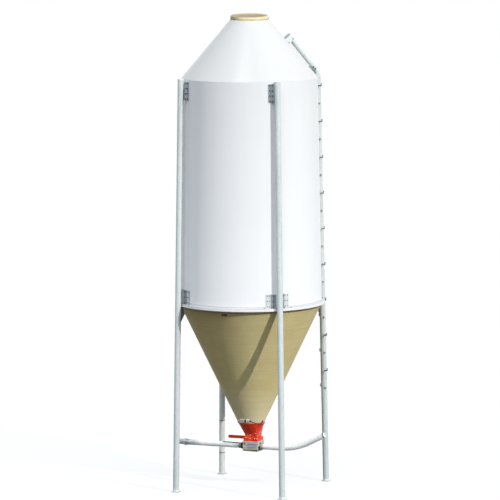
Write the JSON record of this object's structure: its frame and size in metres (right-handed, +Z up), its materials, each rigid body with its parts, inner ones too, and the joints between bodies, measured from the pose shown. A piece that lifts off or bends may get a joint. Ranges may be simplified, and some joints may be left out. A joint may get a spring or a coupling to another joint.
{
  "type": "polyester feed silo",
  "caption": "Glass-fibre feed silo: tapered white tank with cone roof and lid, tan discharge cone, tube legs, climbing pegs, slide gate and feed tube.",
  "frame": {"origin": "on the ground under the middle of the tank, centre of the overall box at its bottom", "axes": "+Z up, X along the feed tube under the outlet box, legs at the corners of a square along X and Y"},
  "size_m": [2.3922, 2.2, 7.0546],
  "materials": {
    "white_gelcoat": "white gelcoat over glass fibre, satin gloss",
    "tan_resin": "unpainted wound glass fibre, fine level lines",
    "yellow_resin": "unpainted moulded glass fibre, slightly see-through yellow",
    "galvanised": "dull hot-dip zinc",
    "dark_steel": "weathered dark steel",
    "red_paint": "glossy red paint, chipped at the corners",
    "white_tube": "smooth white tube"
  },
  "bodies": {
    "tank": {"wall_front": "white_gelcoat", "roof_front": "white_gelcoat", "hopper_front": "tan_resin", "wall_right": "white_gelcoat", "roof_right": "white_gelcoat", "hopper_right": "tan_resin", "wall_back": "white_gelcoat", "roof_back": "white_gelcoat", "hopper_back": "tan_resin", "wall_left": "white_gelcoat", "roof_left": "white_gelcoat", "hopper_left": "tan_resin", "filler_collar": "tan_resin", "lid_hinge_bracket": "dark_steel", "lid_catch": "dark_steel", "leg_front_left": "galvanised", "foot_plate_front_left": "galvanised", "lower_bracket_front_left": "galvanised", "upper_bracket_front_left": "galvanised", "leg_front_right": "galvanised", "foot_plate_front_right": "galvanised", "lower_bracket_front_right": "galvanised", "upper_bracket_front_right": "galvanised", "leg_back_right": "galvanised", "foot_plate_back_right": "galvanised", "lower_bracket_back_right": "galvanised", "upper_bracket_back_right": "galvanised", "leg_back_left": "galvanised", "foot_plate_back_left": "galvanised", "lower_bracket_back_left": "galvanised", "upper_bracket_back_left": "galvanised", "roof_rail": "galvanised", "rail_top_plate": "galvanised", "rail_lower_foot": "galvanised", "boot_band": "galvanised", "outlet_box": "galvanised", "coupling_right": "galvanised", "coupling_left": "dark_steel", "boot": "red_paint", "gate_frame": "red_paint", "feed_tube_left": "white_tube", "feed_tube_right": "white_tube"},
    "lid": {"filler_lid": "yellow_resin", "lid_hinge_arm": "dark_steel"},
    "gate": {"slide_gate": "red_paint"}
  },
  "joints": [
    {"name": "lid_hinge", "type": "hinge", "parent": "tank", "child": "lid", "pos_m": [-0.22062, 0.22062, 6.9846], "axis": [-0.7071, -0.7071, 0], "range_deg": [0, 100]},
    {"name": "gate_slide", "type": "slide", "parent": "tank", "child": "gate", "axis": [-1, 0, 0], "range_m": [0, 0.18]}
  ]
}
